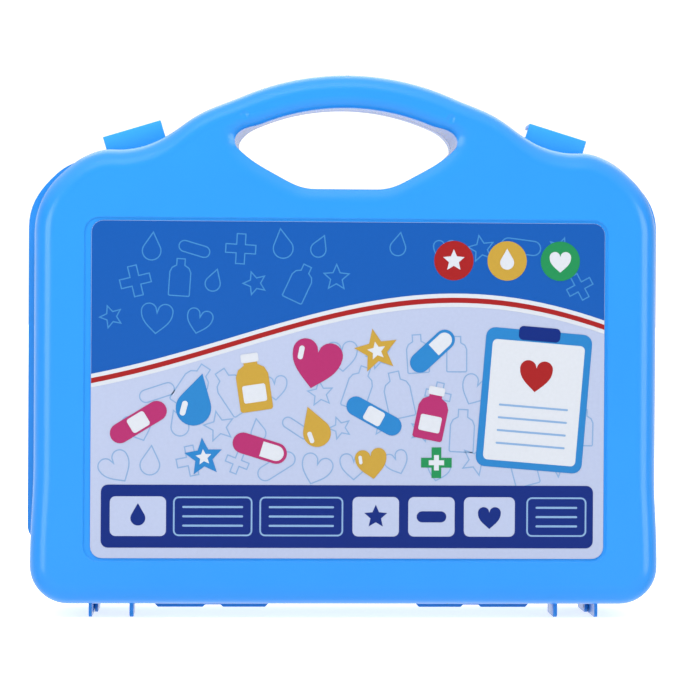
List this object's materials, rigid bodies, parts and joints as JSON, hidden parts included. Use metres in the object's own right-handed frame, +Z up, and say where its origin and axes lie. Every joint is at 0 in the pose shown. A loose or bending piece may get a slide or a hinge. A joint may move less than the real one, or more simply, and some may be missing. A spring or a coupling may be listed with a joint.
{
  "type": "toy doctor case",
  "caption": "Moulded toy carry case with a hand grip, a hinged lid with snap latches, a printed back label and a formed tray of toy medical instruments.",
  "frame": {"origin": "on the standing plane under the hinge ears, at the middle of the case", "axes": "+X across the case, to the right as seen from the labelled side; +Y from the labelled half to the lid; +Z up to the grip"},
  "size_m": [0.2776, 0.065, 0.2354],
  "materials": {
    "case_blue": "moulded, semi-gloss",
    "label_print": "printed paper under a gloss film",
    "tray_white": "vacuum formed",
    "toy_yellow": "moulded, gloss",
    "toy_pink": "moulded, gloss",
    "toy_blue": "moulded, gloss",
    "toy_green": "moulded, gloss",
    "toy_white": "moulded, gloss"
  },
  "bodies": {
    "case_back": {"rear_shell": "case_blue", "back_label": "label_print", "tray": "tray_white", "syringe_barrel": "toy_yellow", "scissors_lower": "toy_blue", "scissors_pivot": "toy_yellow", "thermometer": "toy_pink", "hammer_handle": "toy_yellow", "hammer_head": "toy_pink", "stethoscope_headset": "toy_blue", "stethoscope_chestpiece": "toy_yellow", "kidney_dish": "toy_pink", "tweezers": "toy_yellow", "otoscope_handle": "toy_green", "otoscope_cone": "toy_white", "name_badge": "toy_yellow"},
    "lid": {"front_shell": "case_blue"},
    "latch_left": {"latch_left": "case_blue"},
    "latch_right": {"latch_right": "case_blue"},
    "plunger": {"syringe_plunger": "toy_pink"},
    "scissors_upper": {"scissors_upper": "toy_blue"}
  },
  "joints": [
    {"name": "lid_hinge", "type": "hinge", "parent": "case_back", "child": "lid", "pos_m": [0, 0, 0.0027], "axis": [-1, 0, 0], "range_deg": [0, 180]},
    {"name": "latch_left_hinge", "type": "hinge", "parent": "lid", "child": "latch_left", "pos_m": [-0.09259, 0.009, 0.20895], "axis": [-0.9563, 0, -0.2924], "range_deg": [0, 110]},
    {"name": "latch_right_hinge", "type": "hinge", "parent": "lid", "child": "latch_right", "pos_m": [0.09259, 0.009, 0.20895], "axis": [-0.9563, 0, 0.2924], "range_deg": [0, 110]},
    {"name": "plunger_slide", "type": "slide", "parent": "case_back", "child": "plunger", "axis": [1, 0, 0], "range_m": [0, 0.035]},
    {"name": "scissors_hinge", "type": "hinge", "parent": "case_back", "child": "scissors_upper", "pos_m": [0.06263, -0.004, 0.07477], "axis": [0, -1, 0], "range_deg": [0, 35]}
  ]
}
